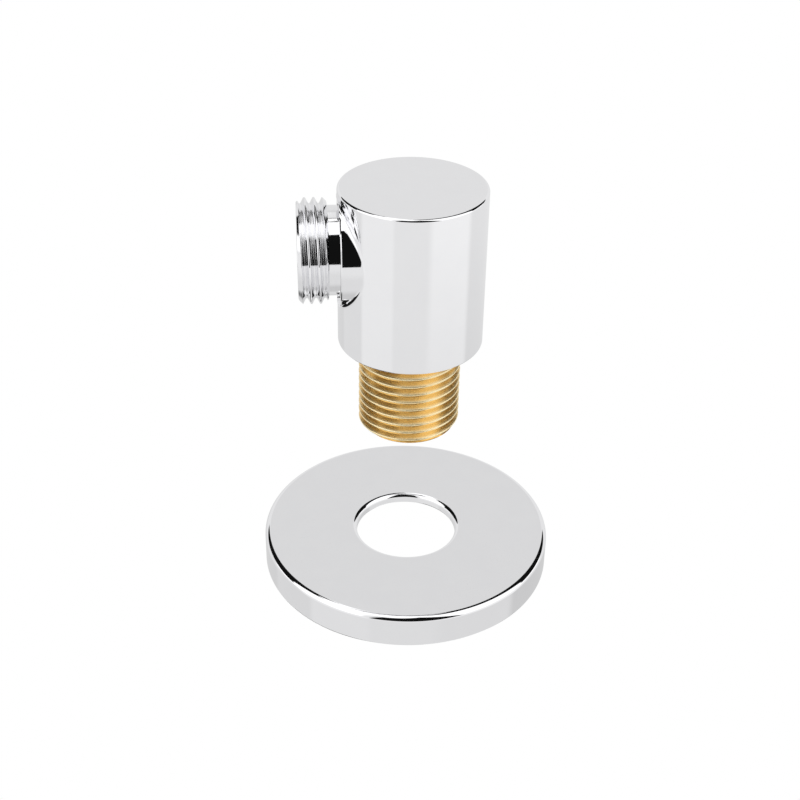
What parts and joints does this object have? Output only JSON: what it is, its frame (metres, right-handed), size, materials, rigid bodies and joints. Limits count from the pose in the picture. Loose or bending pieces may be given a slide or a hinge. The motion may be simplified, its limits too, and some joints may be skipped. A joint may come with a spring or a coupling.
{
  "type": "shower hose wall elbow",
  "caption": "Round chromed wall elbow for a shower hose: brass inlet nipple below, threaded side outlet with a check valve, and a loose round escutcheon.",
  "frame": {"origin": "centre of the elbow body's lower face, on the inlet thread's axis, where the inlet thread starts", "axes": "+Z from the inlet thread to the body's flat top, -X along the side outlet; the inlet nipple points down -Z and the escutcheon is on the same axis"},
  "size_m": [0.0624, 0.0624, 0.089],
  "materials": {
    "chrome": "mirror-polished chrome plate on brass",
    "brass": "bare turned brass",
    "rubber": "black moulded rubber",
    "foam": "dark closed-cell foam",
    "housing_plastic": "white moulded acetal",
    "valve_plastic": "blue moulded acetal",
    "spring_steel": "drawn stainless wire and strip"
  },
  "bodies": {
    "elbow": {"elbow_body": "chrome", "inlet_nipple": "brass", "inlet_o_ring": "rubber", "outlet_nipple": "chrome", "outlet_o_ring": "rubber", "check_valve_housing": "housing_plastic", "check_valve_o_ring": "rubber", "check_valve_cage": "valve_plastic", "check_valve_clip": "spring_steel", "poppet_spring": "spring_steel"},
    "poppet": {"check_valve_poppet": "valve_plastic", "poppet_seal": "rubber"},
    "escutcheon": {"escutcheon": "chrome", "escutcheon_gasket": "foam"}
  },
  "joints": [
    {"name": "escutcheon_slide", "type": "slide", "parent": "elbow", "child": "escutcheon", "axis": [0, 0, 1], "range_m": [0, 0.0481]},
    {"name": "poppet_slide", "type": "slide", "parent": "elbow", "child": "poppet", "axis": [-1, 0, 0], "range_m": [0, 0.002], "stiffness_N_per_m": 60, "springref_m": -0.002, "deforming": ["poppet_spring"]}
  ]
}
